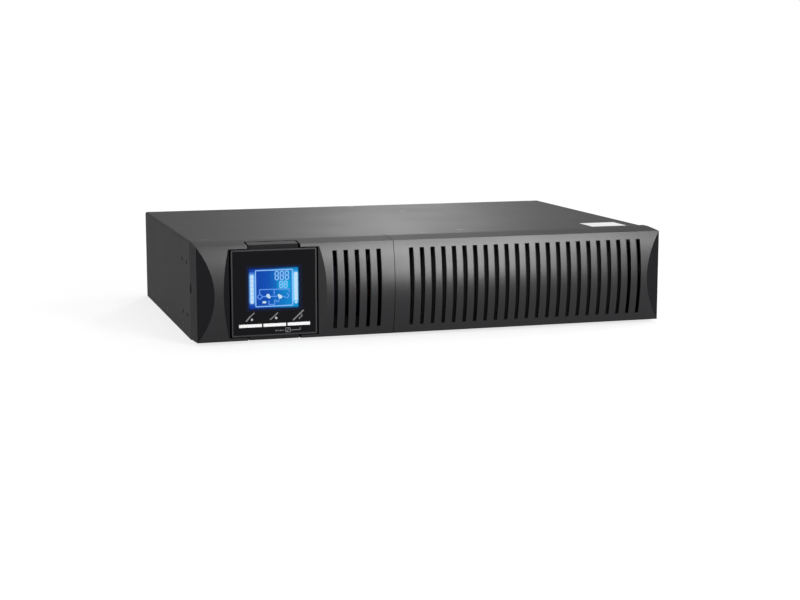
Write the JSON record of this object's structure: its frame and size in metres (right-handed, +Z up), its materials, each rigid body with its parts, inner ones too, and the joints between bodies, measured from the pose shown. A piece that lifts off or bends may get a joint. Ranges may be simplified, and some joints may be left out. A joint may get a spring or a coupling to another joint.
{
  "type": "uninterruptible power supply",
  "caption": "Low wide steel case for rack or tower with a slotted two-part front, a square display module with three bar keys, a battery drawer and rear mains sockets.",
  "frame": {"origin": "centre of the footprint, on the surface that the case stands on", "axes": "+X to the right seen from the front, +Y from the front to the rear, +Z up"},
  "size_m": [0.438, 0.318, 0.0888],
  "materials": {
    "case_steel": "fine powder coat, matt",
    "bare_steel": "zinc plated",
    "dark_screws": "black oxide",
    "bright_wire": "nickel plated",
    "brass_parts": "plain",
    "tinned_metal": "tinned",
    "aluminium": "extruded",
    "ferrite": "ground",
    "winding": "enamelled copper",
    "panel_plastic": "fine texture",
    "black_plastic": "fine texture",
    "gloss_overlay": "polished",
    "lens": "clear",
    "light_guide": "clear",
    "board": "solder mask",
    "keys": "smooth",
    "battery_case": "satin",
    "lead_sleeve": "smooth",
    "plug_grey": "smooth",
    "sleeve": "shrink sleeve",
    "tape": "polyester tape",
    "relay_case": "smooth",
    "red_button": "smooth",
    "green_plastic": "smooth",
    "label": "matt paper"
  },
  "bodies": {
    "case": {"base_pan": "case_steel", "top_cover": "case_steel", "rear_panel": "case_steel", "cover_screws": "dark_screws", "ear_nuts": "bare_steel", "top_label": "label", "front_panel_left": "panel_plastic", "bay_wall": "bare_steel", "tray_rails": "bare_steel", "bay_plug": "plug_grey", "power_board": "board", "board_posts": "brass_parts", "board_screws": "bare_steel", "heatsinks": "aluminium", "power_transistors": "black_plastic", "bus_capacitors": "sleeve", "chokes": "winding", "transformer_core": "ferrite", "transformer_winding": "tape", "relays": "relay_case", "small_boards": "board", "control_chips": "black_plastic", "fan_frame": "black_plastic", "fan_stator": "winding", "fan_guard": "bright_wire", "power_inlet": "black_plastic", "socket_contacts": "tinned_metal", "rear_screws": "bare_steel", "breaker_body": "black_plastic", "outlet_banks": "black_plastic", "serial_port": "bright_wire", "usb_port": "bright_wire", "stop_terminal": "green_plastic", "network_jacks": "black_plastic", "slot_covers": "case_steel", "thumbscrews": "dark_screws"},
    "front_cover": {"front_panel_right": "panel_plastic"},
    "tray": {"battery_tray": "case_steel", "tray_screws": "bare_steel", "batteries": "battery_case", "battery_terminals": "tinned_metal", "battery_leads": "lead_sleeve", "tray_plug": "plug_grey"},
    "display": {"display_housing": "panel_plastic", "display_overlay": "gloss_overlay", "display_lens": "lens", "display_glass": "lens", "display_light": "light_guide", "display_board": "board", "display_back": "black_plastic", "display_screws": "bare_steel", "key_switches": "black_plastic"},
    "left_key": {"key_left": "keys"},
    "middle_key": {"key_middle": "keys"},
    "right_key": {"key_right": "keys"},
    "fan": {"fan_rotor": "black_plastic"},
    "reset": {"breaker_button": "red_button"}
  },
  "joints": [
    {"name": "display_pull", "type": "slide", "parent": "case", "child": "display", "axis": [0, -1, 0], "range_m": [0, 0.022]},
    {"name": "left_key_press", "type": "slide", "parent": "display", "child": "left_key", "axis": [0, 1, 0], "range_m": [0, 0.0007], "stiffness_N_per_m": 1500, "springref_m": -0.0005},
    {"name": "middle_key_press", "type": "slide", "parent": "display", "child": "middle_key", "axis": [0, 1, 0], "range_m": [0, 0.0007], "stiffness_N_per_m": 1500, "springref_m": -0.0005},
    {"name": "right_key_press", "type": "slide", "parent": "display", "child": "right_key", "axis": [0, 1, 0], "range_m": [0, 0.0007], "stiffness_N_per_m": 1500, "springref_m": -0.0005},
    {"name": "fan_spin", "type": "hinge", "parent": "case", "child": "fan", "pos_m": [-0.1686, 0.137, 0.044], "axis": [0, 1, 0], "continuous": true},
    {"name": "breaker_reset", "type": "slide", "parent": "case", "child": "reset", "axis": [0, 1, 0], "range_m": [0, 0.004]},
    {"name": "tray_slide", "type": "slide", "parent": "case", "child": "tray", "axis": [0, -1, 0], "range_m": [0, 0.2]},
    {"name": "front_cover_off", "type": "slide", "parent": "case", "child": "front_cover", "axis": [0, -1, 0], "range_m": [0, 0.25]}
  ],
  "couplings": [
    {"joint": "front_cover_off", "follows": "tray_slide", "ratio": 1.25}
  ]
}
